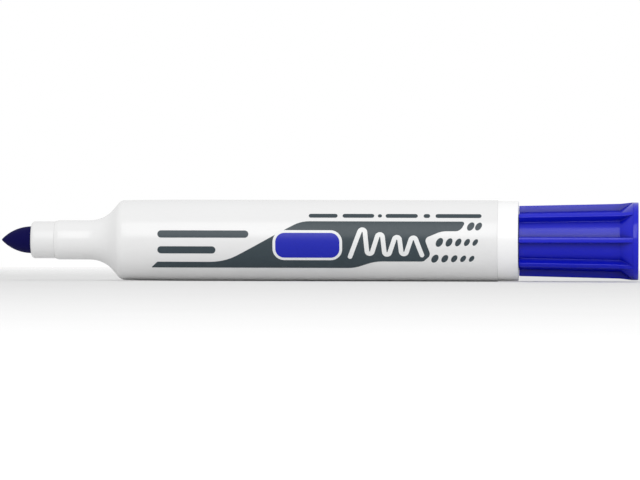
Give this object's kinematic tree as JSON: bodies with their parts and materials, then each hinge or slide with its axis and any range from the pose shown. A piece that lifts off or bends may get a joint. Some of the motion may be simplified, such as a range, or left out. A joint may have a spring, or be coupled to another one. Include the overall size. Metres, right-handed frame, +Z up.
{
  "type": "felt tip marker",
  "caption": "Round whiteboard marker with a bullet fibre tip, a stepped nozzle and a ribbed cap pushed on its rear end.",
  "frame": {"origin": "centre of the bounding box, on the surface that the marker lies on", "axes": "+X along the marker towards its cap, +Z up, printed side towards -Y"},
  "size_m": [0.14, 0.0178, 0.0178],
  "materials": {
    "barrel_plastic": "satin",
    "holder_plastic": "satin",
    "plug_plastic": "gloss",
    "nib_fibre": "ink-soaked fibre",
    "reservoir_fibre": "ink-soaked fibre",
    "reservoir_film": "clear film",
    "cap_plastic": "gloss",
    "liner_plastic": "natural",
    "print_slate": "printed ink",
    "print_white": "printed ink",
    "print_accent": "printed ink"
  },
  "bodies": {
    "marker": {"barrel": "barrel_plastic", "nib_holder": "holder_plastic", "nib": "nib_fibre", "reservoir_core": "reservoir_fibre", "reservoir_wrap": "reservoir_film", "rear_plug": "plug_plastic"},
    "cap": {"cap_shell": "cap_plastic", "cap_liner": "liner_plastic"}
  },
  "joints": [
    {"name": "cap_slide", "type": "slide", "parent": "marker", "child": "cap", "axis": [1, 0, 0], "range_m": [0, 0.03]}
  ]
}
